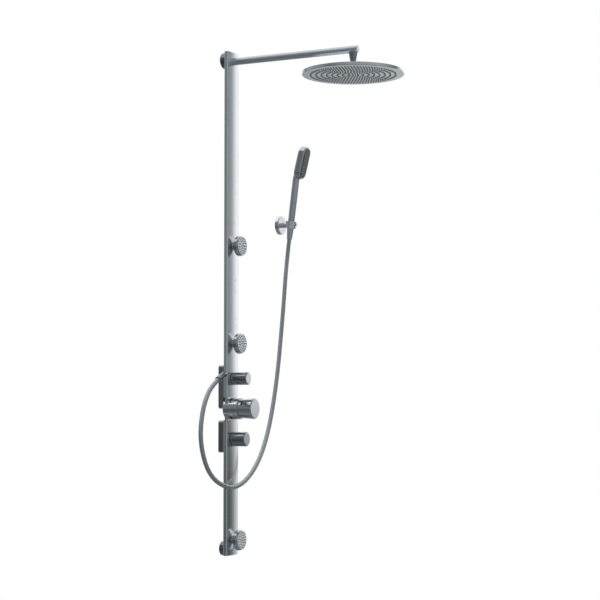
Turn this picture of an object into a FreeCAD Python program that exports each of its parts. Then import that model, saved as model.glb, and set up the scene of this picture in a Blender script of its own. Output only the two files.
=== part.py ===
import FreeCAD, Part
import math
import os

# Shower panel column for a wall.  Millimetres.  The wall is the plane Y = 0, the
# room lies towards -Y, +X is to the right seen from the room and +Z is up.  The
# origin is on the wall, on the panel's centre plane, at the height of the mixer
# axis.  A "near" or "far" value below is a distance out from the wall.

Vector = FreeCAD.Vector

# Fits between pieces
snug = 0.05                 # radial clearance of pieces that are fixed together
running = 0.1               # radial clearance of spherical and turning fits
free_gap = 0.3              # gap between pieces that only lie close together

# Panel profile
panel_width = 72.0
panel_depth = 16.0
panel_crown = 3.0
panel_wall = 1.8
panel_corner = 4.0
panel_standoff = 22.0
panel_top = 1080.0
panel_bottom = -437.0
panel_split = 34.0          # the profile stops this far above and below the mixer axis
cap_thickness = 3.0
cap_edge = 2.0
cap_spigot = 8.0
back_inside = panel_standoff + panel_wall
front_face = panel_standoff + panel_depth
cavity_far = front_face - panel_crown - panel_wall + 0.4

# Wall spacers at the top and the foot
top_spacer_radius = 24.0
foot_spacer_radius = 21.0
spacer_edge = 1.0
foot_spacer_tip = 17.5
spacer_bore = 2.75
spacer_below_top = 23.0
spacer_above_foot = 20.0
top_spacer_height = panel_top - spacer_below_top
foot_spacer_height = panel_bottom + spacer_above_foot

# Valve blocks behind the panel
block_half = 26.0
block_depth = 17.0
block_corner = 8.0
block_wall = 1.5
upper_block_low = 0.0
upper_block_high = 130.0
lower_block_low = -131.0
lower_block_high = -35.0
plate_depth = 6.0
valve_half = 20.0
valve_inset = 6.0
valve_screw_room = 24.0
fixing_half_x = 17.0
fixing_half_z = 118.0
fixing_hole = 2.75

# Water supplies
supply_half_spacing = 75.0
supply_radius = 9.3
supply_depth = 10.0
union_radius = 12.0
union_length = 12.0
water_way = 5.0

# Valve stems, cartridges and galleries
diverter_height = 90.0
jets_valve_height = -91.0
collar_radius = 18.0
boss_radius = 14.0
boss_far = 35.0
cartridge_radius = 10.5
cartridge_flange = 1.8
cartridge_near = 16.0
nut_radius = 16.5
nut_lip = 3.2
nut_eye = 9.0
spindle_radius = 4.0
spindle_near = 25.0
spindle_far = 70.0
gallery_half = 29.0
gallery_reach = 120.0
gallery_root = 30.0
transfer_height = 48.0
transfer_radius = 4.0

# Mixer
barrel_radius = 32.0
barrel_near = block_depth + free_gap
barrel_far = 64.0
mixer_cartridge_radius = 17.0
mixer_cartridge_near = 24.0
mixer_spindle_radius = 5.0
mixer_spindle_near = 41.0
mixer_spindle_far = 95.0

# Handles
handle_gap = 0.6
diverter_handle_radius = 19.0
diverter_handle_far = 88.0
jets_handle_radius = 21.5
jets_handle_far = 83.0
handle_cavity_radius = 17.2
handle_cavity_far = 58.0
handle_edge = 1.2
temperature_root_radius = 28.0
temperature_end_radius = 31.0
temperature_far = 110.5
temperature_cavity_radius = 24.0
temperature_cavity_far = 86.0

# Stop button of the temperature handle
button_angle = -57.0
button_centre = 78.0
button_length = 13.0
button_width = 5.0
button_top = 31.2
button_flange = 1.6
button_flange_rim = 1.2

# Pipes inside the panel
pipe_radius = 4.0
pipe_offset = 25.0
pipe_depth = 28.7
pipe_bore = 3.2
pipe_grip = 10.0

# Rain arm and drop
arm_radius = 11.0
arm_bore = 9.5
arm_below_spacer = 5.0
arm_height = top_spacer_height - arm_below_spacer
head_reach = 398.0
arm_overhang = 14.0
arm_cap_dome = 2.5
arm_cap_plug = 6.0
socket_half_height = 15.0
socket_right = 16.0
socket_boss = 26.0
drop_top_radius = 13.5
drop_bottom_radius = 8.25
drop_reach = 38.0
drop_lip = 2.0
stub_radius = 6.0
stub_depth = 6.0
drop_bottom = arm_height - drop_reach
stub_top = arm_height - stub_depth

# Rain head
ball_below_arm = 52.0
ball_height = arm_height - ball_below_arm
ball_radius = 9.0
seat_thickness = 3.0
seat_half = 3.5
swivel_radius = 14.0
swivel_mouth = 4.5
swivel_below_ball = 11.0
swivel_bottom = ball_height - swivel_below_ball
boss_below_ball = 6.5
inlet_boss_top = ball_height - boss_below_ball
inlet_bore = 7.5
head_radius = 150.0
head_below_ball = 13.5
head_thickness = 10.5
head_top = ball_height - head_below_ball
head_bottom = head_top - head_thickness
head_edge = 2.0
head_skin = 1.5
face_rim = 2.5
face_thickness = 2.6

# Body jets
jet_heights = (489.0, 195.0, -391.0)
jet_block_half = 8.0
jet_block_left = 12.0
jet_boss_radius = 10.0
jet_stem_radius = 5.0
jet_ball_radius = 8.0
jet_seat_thickness = 2.9
jet_seat_half = 3.0
jet_centre = 7.0            # ball centre, in front of the panel's face
bell_back = 3.4
bell_back_radius = 12.0
bell_rim = 16.0
bell_rim_radius = 31.0
bell_front = 28.5
bell_front_radius = 29.0
bell_shoulder = 2.0
bell_shoulder_inset = 1.5
bell_lip = 1.2
bell_lip_width = 0.6
bell_roll = 5.0
bell_roll_inset = 0.4
bell_chamber_near = 17.0
bell_chamber_radius = 22.0
jet_face_radius = 26.5
jet_face_thickness = 3.0
jet_face_dome = 1.5

# Screws with pan heads, the same size wherever pieces are screwed together
screw_radius = 2.0
screw_head_radius = 3.6
screw_head_height = 2.4
screw_length = 9.0
grub_length = 4.0
valve_screw_x = 15.0
valve_screw_z = 56.0
spacer_screw_offset = 10.0

# Hand shower hose: diameter and the route's points, from the outlet to the handset
hose_radius = 7.0
hose_route = [
    (-78.1, -28.7, 85.7),
    (-118.0, -28.7, 65.4),
    (-156.0, -33.0, 32.0),
    (-182.0, -36.0, -8.0),
    (-205.0, -42.0, -68.0),
    (-203.0, -47.0, -123.0),
    (-181.0, -53.0, -178.0),
    (-135.0, -58.0, -215.0),
    (-62.0, -64.0, -236.0),
    (10.0, -65.0, -224.0),
    (82.0, -62.0, -188.0),
    (148.0, -57.0, -133.0),
    (203.0, -51.0, -59.0),
    (249.0, -45.0, 35.0),
    (284.0, -40.0, 129.0),
    (310.0, -36.0, 225.0),
    (331.0, -34.0, 321.0),
    (349.0, -32.0, 417.0),
    (366.0, -29.4, 481.9),
    (366.0, -37.0, 541.1),
]
arc_share = 0.45

# Hose outlet and its nut
outlet_reach = 36.0
outlet_radius = 7.5
outlet_nipple_radius = 4.5
outlet_nipple_depth = 5.0
hose_nut_radius = 10.0
hose_nut_length = 18.0
washer_thickness = 2.0

# Hand shower bracket
bracket_x = 366.0
bracket_height = 588.0
bracket_lean = 7.3
flange_radius = 30.0
flange_depth = 12.0
flange_wall = 2.5
bracket_plate_depth = 5.0
bracket_hub_radius = 9.0
bracket_screw_half = 18.0
bracket_arm_radius = 8.0
cradle_reach = 43.0
cradle_radius = 17.5
cradle_wall = 2.0
cradle_half = 11.0
cradle_slot = 15.5
nub_radius = 5.0
nub_length = 4.0

# Hand shower, measured along its own axis from the cradle's centre
cone_low = -47.0
cone_high = 10.0
cone_low_radius = 8.6
cone_high_radius = 13.0
ferrule_radius = 7.5
ferrule_bore = 4.5
ferrule_flange_low = -20.0
ferrule_flange_high = -17.0
ferrule_flange_radius = 9.0
spigot_low = -16.7
spigot_bore = 5.0
handset_bend = 150.0
handset_head_lean = 6.7
# along the axis, half width across, half thickness
handle_sections = (
    (10.0, 10.6, 10.6),
    (60.0, 11.2, 11.2),
    (120.0, 11.4, 11.2),
    (150.0, 11.8, 11.0),
)
# from the handle's end up into the head
neck_sections = (
    (150.0, 11.8, 11.0),
    (175.0, 13.4, 8.6),
    (200.0, 14.0, 4.4),
)
handset_head_half = 24.0
handset_head_low = 150.0
handset_head_high = 256.0
handset_head_back = 5.0
handset_head_front = 20.5
handset_head_corner = 23.5
handset_back_edge = 9.0
handset_front_edge = 5.0
handset_wall = 3.0
handset_chamber_near = 4.0
handset_way_top = 175.0
handset_face_margin = 6.0
handset_face_near = 17.5
handset_face_far = 21.0


def rod_out(radius, near, far, x=0.0, z=0.0):
    """Cylinder that points out of the wall."""
    return Part.makeCylinder(radius, far - near, Vector(x, -near, z), Vector(0, -1, 0))


def cone_out(near_radius, far_radius, near, far, x=0.0, z=0.0):
    """Cone that points out of the wall; a cylinder where both radii are the same."""
    if abs(near_radius - far_radius) < snug:
        return rod_out(near_radius, near, far, x, z)
    base = Vector(x, -near, z)
    return Part.makeCone(near_radius, far_radius, far - near, base, Vector(0, -1, 0))


def block(left, right, near, far, low, high):
    """Box between distances out from the wall."""
    return Part.makeBox(right - left, far - near, high - low, Vector(left, -far, low))


def upright(radius, low, high, x=0.0, y=0.0):
    """Cylinder that stands upright."""
    return Part.makeCylinder(radius, high - low, Vector(x, y, low))


def ball(radius, centre):
    return Part.makeSphere(radius, centre)


def cut_all(shape, tools):
    for tool in tools:
        shape = shape.cut(tool)
    return shape


def fuse_all(shape, others):
    for other in others:
        shape = shape.fuse(other)
    return shape.removeSplitter()


def save(name, *solids):
    """Write one node; several solids make one group."""
    shape = solids[0] if len(solids) == 1 else Part.makeCompound(list(solids))
    shape.exportStep("parts/" + name + ".step")
    valid = all(solid.isValid() for solid in shape.Solids)
    print(f"{name:24s} solids {len(shape.Solids)}  volume {shape.Volume:10.1f}  valid {valid}")


def panel_prism(inset, low, high):
    """Length of the panel's section, drawn in by inset: flat back, crowned front."""
    half = panel_width / 2 - inset
    back = -(panel_standoff + inset)
    side = -(front_face - panel_crown - inset)
    apex = -(front_face - inset)
    corners = [
        Vector(-half, side, low),
        Vector(-half, back, low),
        Vector(half, back, low),
        Vector(half, side, low),
    ]
    edges = [Part.makeLine(start, end) for start, end in zip(corners, corners[1:])]
    edges.append(Part.Arc(corners[3], Vector(0, apex, low), corners[0]).toShape())
    prism = Part.Face(Part.Wire(edges)).extrude(Vector(0, 0, high - low))
    upright_edges = [edge for edge in prism.Edges if abs(edge.tangentAt(edge.FirstParameter).z) > 0.9]
    return prism.makeFillet(panel_corner - inset, upright_edges)


def through_front(radius, height):
    """Cutter for a round hole in the panel's front wall."""
    return rod_out(radius, cavity_far - panel_crown, front_face + 1, 0, height)


def through_back(radius, height, x=0.0):
    """Cutter for a round hole in the panel's back wall."""
    return rod_out(radius, panel_standoff - 1, back_inside + 1, x, height)


def hose_direction(first, second):
    return (Vector(*second) - Vector(*first)).normalize()


def outlet_bend():
    """Where the hose outlet turns down, straight behind the hose nut."""
    way = hose_direction(hose_route[0], hose_route[1])
    return Vector(*hose_route[0]) - way * outlet_reach


def make_panel():
    """The two lengths of hollow profile, above and below the mixer."""
    bend = outlet_bend()
    upper = panel_prism(0, panel_split, panel_top - cap_thickness)
    upper = upper.cut(panel_prism(panel_wall, panel_split - 1, panel_top))
    lower = panel_prism(0, panel_bottom + cap_thickness, -panel_split)
    lower = lower.cut(panel_prism(panel_wall, panel_bottom, -panel_split + 1))
    holes = [through_front(arm_radius + snug, arm_height)]
    for height in (diverter_height, jets_valve_height):
        holes.append(through_front(nut_radius + free_gap, height))
        holes.append(through_back(boss_radius + snug, height))
    for height in jet_heights:
        holes.append(through_front(jet_boss_radius + snug, height))
    for height in (-transfer_height, transfer_height):
        holes.append(through_back(transfer_radius + snug, height))
    for x, height in panel_screw_places():
        holes.append(through_back(screw_radius + snug, height, x))
    side_hole = Part.makeCylinder(
        outlet_nipple_radius + snug, panel_width / 2 - gallery_half + 2,
        Vector(-panel_width / 2 - 1, bend.y, bend.z), Vector(1, 0, 0))
    holes.append(side_hole)
    save("upper_profile", cut_all(upper, holes))
    save("lower_profile", cut_all(lower, holes))


def panel_screw_places():
    """X and Z of the screws that go through the panel's back wall."""
    places = []
    for side in (-1, 1):
        places.append((side * spacer_screw_offset, top_spacer_height))
        places.append((side * spacer_screw_offset, foot_spacer_height))
    return places


def make_end_caps():
    caps = []
    for end, inward in ((panel_top, -1), (panel_bottom, 1)):
        seat = end + inward * cap_thickness
        tip = seat + inward * cap_spigot
        plate = panel_prism(0, min(end, seat), max(end, seat))
        end_edges = [edge for edge in plate.Edges
                     if abs(edge.BoundBox.ZMin - end) < 0.01 and edge.BoundBox.ZLength < 0.01]
        plate = plate.makeFillet(cap_edge, end_edges)
        plug = panel_prism(panel_wall + running, min(seat, tip), max(seat, tip))
        hollow = panel_prism(panel_wall * 2, min(seat, tip), max(seat, tip))
        caps.append(plate.fuse(plug.cut(hollow)).removeSplitter())
    save("end_caps", *caps)


def pan_screw(seat, x, height, inward):
    """Pan head screw; inward is 1 when it drives towards the wall."""
    head_near = min(seat, seat + inward * screw_head_height)
    tip = seat - inward * screw_length
    head = rod_out(screw_head_radius, head_near, head_near + screw_head_height, x, height)
    shank = rod_out(screw_radius, min(seat, tip), max(seat, tip), x, height)
    return head.fuse(shank).removeSplitter()


def make_wall_spacers():
    for name, height, radius, tip_radius in (
            ("top_wall_spacer", top_spacer_height, top_spacer_radius, top_spacer_radius),
            ("foot_wall_spacer", foot_spacer_height, foot_spacer_radius, foot_spacer_tip)):
        wall_rim = cone_out(radius - spacer_edge, radius, 0, spacer_edge, 0, height)
        body = cone_out(radius, tip_radius, spacer_edge, panel_standoff, 0, height)
        body = wall_rim.fuse(body).removeSplitter()
        cutters = [rod_out(spacer_bore, -1, panel_standoff + 1, 0, height)]
        for side in (-1, 1):
            x = side * spacer_screw_offset
            near = back_inside - screw_length
            cutters.append(rod_out(screw_radius + snug, near, panel_standoff + 1, x, height))
        save(name, cut_all(body, cutters))


def rounded_plate(half, near, far, low, high, corner):
    """Plate on the wall with its four corners rounded."""
    plate = block(-half, half, near, far, low, high)
    edges = [edge for edge in plate.Edges if abs(edge.tangentAt(edge.FirstParameter).y) > 0.9]
    return plate.makeFillet(corner, edges)


def valve_span(low, high, side):
    """Low and high end of the brass block behind the panel."""
    if side > 0:
        return low + valve_inset, high - valve_screw_room
    return low + valve_screw_room, high - valve_inset


def make_valve_block(word, low, high, side, stem_height):
    """Back plate, brass body and cover of one valve block; side is 1 above the mixer."""
    supply = side * supply_half_spacing
    screws = [(x, side * valve_screw_z) for x in (-valve_screw_x, valve_screw_x)]
    inner = block_wall + free_gap
    seat_out = block_depth - block_wall - free_gap
    cover_inside = block_depth - block_wall

    plate = rounded_plate(block_half - inner, 0, plate_depth, low + inner, high - inner,
                          block_corner - inner)
    cutters = [rod_out(union_radius + snug, -1, plate_depth + 1, 0, supply)]
    for x in (-fixing_half_x, fixing_half_x):
        cutters.append(rod_out(fixing_hole, -1, plate_depth + 1, x, side * fixing_half_z))
    screw_seat = seat_out - screw_head_height
    for x, z in screws:
        cutters.append(rod_out(screw_radius + snug, screw_seat - screw_length, plate_depth + 1, x, z))
    grub_z = (low + high) / 2
    grub_left = block_half - grub_length
    cutters.append(Part.makeCylinder(screw_radius + snug, grub_length + 1,
                                     Vector(grub_left, -plate_depth / 2, grub_z), Vector(1, 0, 0)))
    save(word + "_back_plate", cut_all(plate, cutters))

    body_low, body_high = valve_span(low, high, side)
    body = block(-valve_half, valve_half, plate_depth, seat_out, body_low, body_high)
    body = fuse_all(body, [
        rod_out(collar_radius, plate_depth, panel_standoff, 0, stem_height),
        rod_out(boss_radius, panel_standoff, boss_far, 0, stem_height),
    ])
    cutters = [
        rod_out(union_radius + snug, plate_depth, union_length, 0, supply),
        rod_out(water_way, union_length, cartridge_near, 0, supply),
        rod_out(cartridge_radius + snug, cartridge_near, boss_far + 1, 0, stem_height),
        rod_out(transfer_radius + snug, plate_depth + 2, seat_out + 1, 0, side * transfer_height),
    ]
    for x, z in screws:
        cutters.append(rod_out(screw_head_radius + snug, screw_seat, seat_out + 1, x, z))
        cutters.append(rod_out(screw_radius + snug, plate_depth - 1, screw_seat, x, z))
    save(word + "_valve_body", cut_all(body, cutters))

    cover = rounded_plate(block_half, 0, block_depth, low, high, block_corner)
    front_edges = [edge for edge in cover.Edges
                   if abs(edge.BoundBox.YMin + block_depth) < 0.01 and abs(edge.BoundBox.YLength) < 0.01]
    cover = cover.makeFillet(block_wall, front_edges)
    hollow = rounded_plate(block_half - block_wall, -1, cover_inside, low + block_wall,
                           high - block_wall, block_corner - block_wall)
    cutters = [
        hollow,
        rod_out(collar_radius + free_gap, cover_inside - 1, block_depth + 1, 0, stem_height),
        rod_out(transfer_radius + free_gap, cover_inside - 1, block_depth + 1, 0,
                side * transfer_height),
        Part.makeCylinder(screw_radius + snug, grub_length + 1,
                          Vector(grub_left, -plate_depth / 2, grub_z), Vector(1, 0, 0)),
    ]
    save(word + "_valve_cover", cut_all(cover, cutters))
    body_screws = [pan_screw(screw_seat, x, z, 1) for x, z in screws]
    grub = Part.makeCylinder(screw_radius, grub_length,
                             Vector(grub_left, -plate_depth / 2, grub_z), Vector(1, 0, 0))
    return body_screws, grub


def make_valve_blocks():
    """Both blocks, the screws that hold them and the panel, and the supply unions."""
    upper_screws, upper_grub = make_valve_block(
        "upper", upper_block_low, upper_block_high, 1, diverter_height)
    lower_screws, lower_grub = make_valve_block(
        "lower", lower_block_low, lower_block_high, -1, jets_valve_height)
    panel_screws = [pan_screw(back_inside, x, z, 1) for x, z in panel_screw_places()]
    save("pan_head_screws", *(upper_screws + lower_screws + panel_screws))
    save("cover_grub_screws", upper_grub, lower_grub)
    unions = []
    for height in (supply_half_spacing, -supply_half_spacing):
        union = rod_out(union_radius, 0, union_length, 0, height)
        union = union.cut(rod_out(supply_radius, -1, supply_depth, 0, height))
        unions.append(union.cut(rod_out(water_way, supply_depth, union_length + 1, 0, height)))
    save("inlet_unions", *unions)
    pipes = []
    for height in (transfer_height, -transfer_height):
        pipe = rod_out(transfer_radius, plate_depth + 2, pipe_depth, 0, height)
        pipes.append(pipe.cut(rod_out(pipe_bore, plate_depth, pipe_depth + 1, 0, height)))
    save("transfer_pipes", *pipes)


def make_mixer_body():
    """Barrel across the panel, with a gallery up and a gallery down inside the profile."""
    bend = outlet_bend()
    barrel = rod_out(barrel_radius, barrel_near, barrel_far)
    rims = [edge for edge in barrel.Edges if edge.Closed]
    barrel = barrel.makeFillet(handle_edge, rims)
    galleries = []
    for side in (-1, 1):
        low, high = sorted((side * gallery_root * 0.5, side * gallery_reach))
        galleries.append(block(-gallery_half, gallery_half, back_inside, cavity_far, low, high))
    body = fuse_all(barrel, galleries)
    cutters = [rod_out(mixer_cartridge_radius + snug, mixer_cartridge_near, barrel_far + 1)]
    for side, height in ((1, diverter_height), (-1, jets_valve_height)):
        cutters.append(rod_out(boss_radius + snug, back_inside - 1, cavity_far + 1, 0, height))
        cutters.append(rod_out(transfer_radius + snug, back_inside - 1, pipe_depth, 0,
                               side * transfer_height))
    grip = gallery_reach - pipe_grip
    cutters.append(upright(pipe_radius + snug, grip, gallery_reach + 1, -pipe_offset, -pipe_depth))
    cutters.append(upright(pipe_radius + snug, grip, gallery_reach + 1, pipe_offset, -pipe_depth))
    cutters.append(upright(pipe_radius + snug, -gallery_reach - 1, -grip, pipe_offset, -pipe_depth))
    port = Part.makeCylinder(outlet_nipple_radius + snug, outlet_nipple_depth + 1,
                             Vector(-gallery_half - 1, bend.y, bend.z), Vector(1, 0, 0))
    cutters.append(port)
    save("mixer_body", cut_all(body, cutters))


def make_cartridges():
    cartridges = []
    nuts = []
    flange_far = boss_far + cartridge_flange
    for height in (diverter_height, jets_valve_height):
        cartridge = rod_out(cartridge_radius, cartridge_near, boss_far, 0, height)
        cartridge = cartridge.fuse(
            rod_out(boss_radius - snug, boss_far, flange_far, 0, height)).removeSplitter()
        cartridges.append(cartridge.cut(
            rod_out(spindle_radius + snug, spindle_near, flange_far + 1, 0, height)))
        nut = rod_out(nut_radius, cavity_far + snug, flange_far + nut_lip, 0, height)
        nut = nut.cut(rod_out(boss_radius + snug, cavity_far - 1, flange_far, 0, height))
        nuts.append(nut.cut(rod_out(nut_eye, flange_far, front_face * 2, 0, height)))
    save("disc_cartridges", *cartridges)
    save("cartridge_nuts", *nuts)
    mixer_cartridge = rod_out(mixer_cartridge_radius, mixer_cartridge_near, barrel_far)
    save("thermostatic_cartridge", mixer_cartridge.cut(
        rod_out(mixer_spindle_radius + snug, mixer_spindle_near, barrel_far + 1)))


def make_valve_handle(word, height, radius, far):
    """Cup-shaped handle and the spindle that it turns."""
    near = front_face + handle_gap
    handle = rod_out(radius, near, far, 0, height)
    rims = [edge for edge in handle.Edges if edge.Closed]
    handle = handle.makeFillet(handle_edge, rims)
    cutters = [
        rod_out(handle_cavity_radius, near - 1, handle_cavity_far, 0, height),
        rod_out(spindle_radius + snug, handle_cavity_far - 1, spindle_far, 0, height),
    ]
    save(word + "_handle", cut_all(handle, cutters))
    save(word + "_spindle", rod_out(spindle_radius, spindle_near, spindle_far, 0, height))


def stadium(length, width, low, high, at):
    """Pill-shaped prism, long along X, standing on the mixer handle's top."""
    half = (length - width) / 2
    ends = [upright(width / 2, low, high, x, -at) for x in (-half, half)]
    middle = block(-half, half, at - width / 2, at + width / 2, low, high)
    return fuse_all(middle, ends)


def make_temperature_handle():
    """Flared handle with a slot for the stop button, its spindle and the button."""
    near = barrel_far + handle_gap
    handle = cone_out(temperature_root_radius, temperature_end_radius, near, temperature_far)
    rims = [edge for edge in handle.Edges if edge.Closed and len(edge.Vertexes) == 1
            and abs(edge.BoundBox.YLength) < 0.01]
    handle = handle.makeFillet(handle_edge, rims)
    axis = Vector(0, -1, 0)
    flange_half = button_length / 2 + button_flange_rim
    flange_top = math.sqrt((temperature_cavity_radius - free_gap) ** 2 - flange_half ** 2)
    slot = stadium(button_length + free_gap * 2, button_width + free_gap * 2, flange_top,
                   temperature_end_radius + 5, button_centre)
    button = stadium(button_length, button_width, flange_top - button_flange, button_top,
                     button_centre)
    flange = stadium(button_length + 2 * button_flange_rim, button_width + 2 * button_flange_rim,
                     flange_top - button_flange, flange_top, button_centre)
    button = fuse_all(button, [flange])
    top_rim = [edge for edge in button.Edges if abs(edge.BoundBox.ZMin - button_top) < 0.01]
    button = button.makeFillet(handle_edge / 2, top_rim)
    for piece in (slot, button):
        piece.rotate(Vector(0, 0, 0), axis, -button_angle)
    cutters = [
        rod_out(temperature_cavity_radius, near - 1, temperature_cavity_far),
        rod_out(mixer_spindle_radius + snug, temperature_cavity_far - 1, mixer_spindle_far),
        slot,
    ]
    save("temperature_handle", cut_all(handle, cutters))
    save("temperature_spindle", rod_out(mixer_spindle_radius, mixer_spindle_near, mixer_spindle_far))
    save("stop_button", button)


def make_pipe(name, x, low, high):
    pipe = upright(pipe_radius, low, high, x, -pipe_depth)
    save(name, pipe.cut(upright(pipe_bore, low - 1, high + 1, x, -pipe_depth)))


def make_pipes():
    grip = gallery_reach - pipe_grip
    socket_low = arm_height - socket_half_height
    make_pipe("riser_pipe", -pipe_offset, grip, socket_low + pipe_grip)
    make_pipe("upper_jet_pipe", pipe_offset, grip, jet_heights[0])
    make_pipe("lower_jet_pipe", pipe_offset, jet_heights[2], -grip)


def make_arm():
    """Socket in the panel, straight arm, its end cap, the drop and the ball stub."""
    head_y = -(front_face + head_reach)
    low = arm_height - socket_half_height
    high = arm_height + socket_half_height
    socket = block(-gallery_half, socket_right, back_inside, cavity_far, low, high)
    socket = fuse_all(socket, [rod_out(arm_bore - snug, cavity_far, cavity_far + socket_boss,
                                       0, arm_height)])
    cutters = [
        upright(pipe_radius + snug, low - 1, low + pipe_grip, -pipe_offset, -pipe_depth),
        rod_out(water_way, back_inside + 2, cavity_far + socket_boss + 1, 0, arm_height),
    ]
    for side in (-1, 1):
        cutters.append(rod_out(screw_head_radius + free_gap, back_inside - 1,
                               back_inside + screw_head_height + free_gap,
                               side * spacer_screw_offset, top_spacer_height))
    save("arm_socket", cut_all(socket, cutters))
    arm_far = front_face + head_reach + arm_overhang
    arm = rod_out(arm_radius, cavity_far, arm_far, 0, arm_height)
    arm = arm.cut(rod_out(arm_bore, cavity_far - 1, arm_far + 1, 0, arm_height))
    save("rain_arm", arm.cut(upright(stub_radius + snug, arm_height - arm_radius - 1, arm_height,
                                     0, head_y)))
    cap = rod_out(arm_radius, arm_far, arm_far + arm_cap_dome, 0, arm_height)
    outer_rim = [edge for edge in cap.Edges if edge.Closed
                 and abs(edge.BoundBox.YMin + arm_far + arm_cap_dome) < 0.01]
    cap = cap.makeFillet(arm_cap_dome * 0.8, outer_rim)
    save("arm_end_cap", fuse_all(cap, [rod_out(arm_bore - snug, arm_far - arm_cap_plug, arm_far,
                                               0, arm_height)]))
    drop_top = arm_height - arm_radius + drop_lip
    drop = Part.makeCone(drop_bottom_radius, drop_top_radius, drop_top - drop_bottom,
                         Vector(0, head_y, drop_bottom))
    drop = drop.cut(rod_out(arm_radius + snug, 0, arm_far + 1, 0, arm_height))
    save("drop_cone", drop.cut(upright(stub_radius + snug, drop_bottom - 1, drop_top + 1, 0, head_y)))
    stub = upright(stub_radius, ball_height, stub_top, 0, head_y)
    save("head_ball_stub", fuse_all(stub, [ball(ball_radius, Vector(0, head_y, ball_height))]))


def make_rain_head():
    """Seat ring on the ball, swivel nut, shell and face plate."""
    head_y = -(front_face + head_reach)
    centre = Vector(0, head_y, ball_height)
    seat_outer = ball_radius + seat_thickness
    slab = upright(seat_outer + 1, ball_height - seat_half, ball_height + seat_half, 0, head_y)
    seat = ball(seat_outer, centre).common(slab)
    save("head_seat_ring", seat.cut(ball(ball_radius + running, centre)))
    mouth = ball_height + swivel_mouth
    nut = upright(swivel_radius, swivel_bottom, mouth, 0, head_y)
    bore = upright(seat_outer + running, swivel_bottom - 1, ball_height, 0, head_y)
    nut = cut_all(nut, [ball(seat_outer + running, centre), bore])
    save("head_swivel_nut", nut)
    shell = upright(head_radius, head_bottom, head_top, 0, head_y)
    rims = [edge for edge in shell.Edges if edge.Closed]
    shell = shell.makeFillet(head_edge, rims)
    shell = fuse_all(shell, [upright(seat_outer + running - snug, head_top, inlet_boss_top,
                                     0, head_y)])
    face_radius = head_radius - face_rim
    face_top = head_bottom + face_thickness
    cutters = [
        upright(face_radius + snug, head_bottom - 1, face_top, 0, head_y),
        upright(face_radius - face_rim, face_top - 1, head_top - head_skin, 0, head_y),
        upright(inlet_bore, head_top - head_skin - 1, inlet_boss_top + 1, 0, head_y),
    ]
    save("rain_head_shell", cut_all(shell, cutters))
    save("rain_head_face", upright(face_radius, head_bottom, face_top, 0, head_y))


def make_jet_sockets():
    """Brass blocks inside the panel, each with a ball that carries a jet."""
    sockets = []
    ball_out = front_face + jet_centre
    for index, height in enumerate(jet_heights):
        low = height - jet_block_half
        high = height + jet_block_half
        socket = block(-jet_block_left, gallery_half, back_inside, cavity_far, low, high)
        socket = fuse_all(socket, [
            rod_out(jet_boss_radius, cavity_far, front_face + handle_gap, 0, height),
            rod_out(jet_stem_radius, cavity_far, ball_out, 0, height),
            ball(jet_ball_radius, Vector(0, -ball_out, height)),
        ])
        bore_low, bore_high = ((low - 1, height), (low - 1, high + 1), (height, high + 1))[index]
        sockets.append(socket.cut(upright(pipe_radius + snug, bore_low, bore_high,
                                          pipe_offset, -pipe_depth)))
    save("jet_sockets", *sockets)


def turned(points, height):
    """Solid of revolution about a jet's axis; points are (out from the face, radius)."""
    corners = [Vector(radius, -(front_face + out), height) for out, radius in points]
    corners.append(corners[0])
    face = Part.Face(Part.makePolygon(corners))
    return face.revolve(Vector(0, 0, height), Vector(0, 1, 0), 360)


def make_jets():
    """Seat ring, bell and nozzle face of each body jet."""
    make_jet_sockets()
    seat_outer = jet_ball_radius + jet_seat_thickness + running
    ball_out = front_face + jet_centre
    bell_end = bell_front + bell_lip
    for word, height in zip(("top", "middle", "low"), jet_heights):
        centre = Vector(0, -ball_out, height)
        slab = rod_out(seat_outer + 1, ball_out - jet_seat_half, ball_out + jet_seat_half, 0, height)
        seat = ball(seat_outer, centre).common(slab)
        save(word + "_jet_seat", seat.cut(ball(jet_ball_radius + running, centre)))
        bell = turned([
            (bell_back, 0.0),
            (bell_back, bell_back_radius),
            (bell_rim - bell_shoulder, bell_rim_radius - bell_shoulder_inset),
            (bell_rim, bell_rim_radius),
            (bell_front - bell_roll, bell_rim_radius - bell_roll_inset),
            (bell_front, bell_front_radius),
            (bell_end, jet_face_radius + bell_lip_width),
            (bell_end, 0.0),
        ], height)
        face_near = front_face + bell_end - jet_face_thickness
        cutters = [
            ball(seat_outer + running, centre),
            rod_out(bell_chamber_radius, front_face + bell_chamber_near, face_near + 1, 0, height),
            rod_out(jet_face_radius + snug, face_near, face_near + 20, 0, height),
        ]
        save(word + "_jet_bell", cut_all(bell, cutters))
        face = turned([
            (bell_end - jet_face_thickness, 0.0),
            (bell_end - jet_face_thickness, jet_face_radius),
            (bell_end, jet_face_radius),
            (bell_end + jet_face_dome * 0.75, jet_face_radius * 0.6),
            (bell_end + jet_face_dome, jet_face_radius * 0.25),
            (bell_end + jet_face_dome, 0.0),
        ], height)
        save(word + "_jet_face", face)


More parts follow.
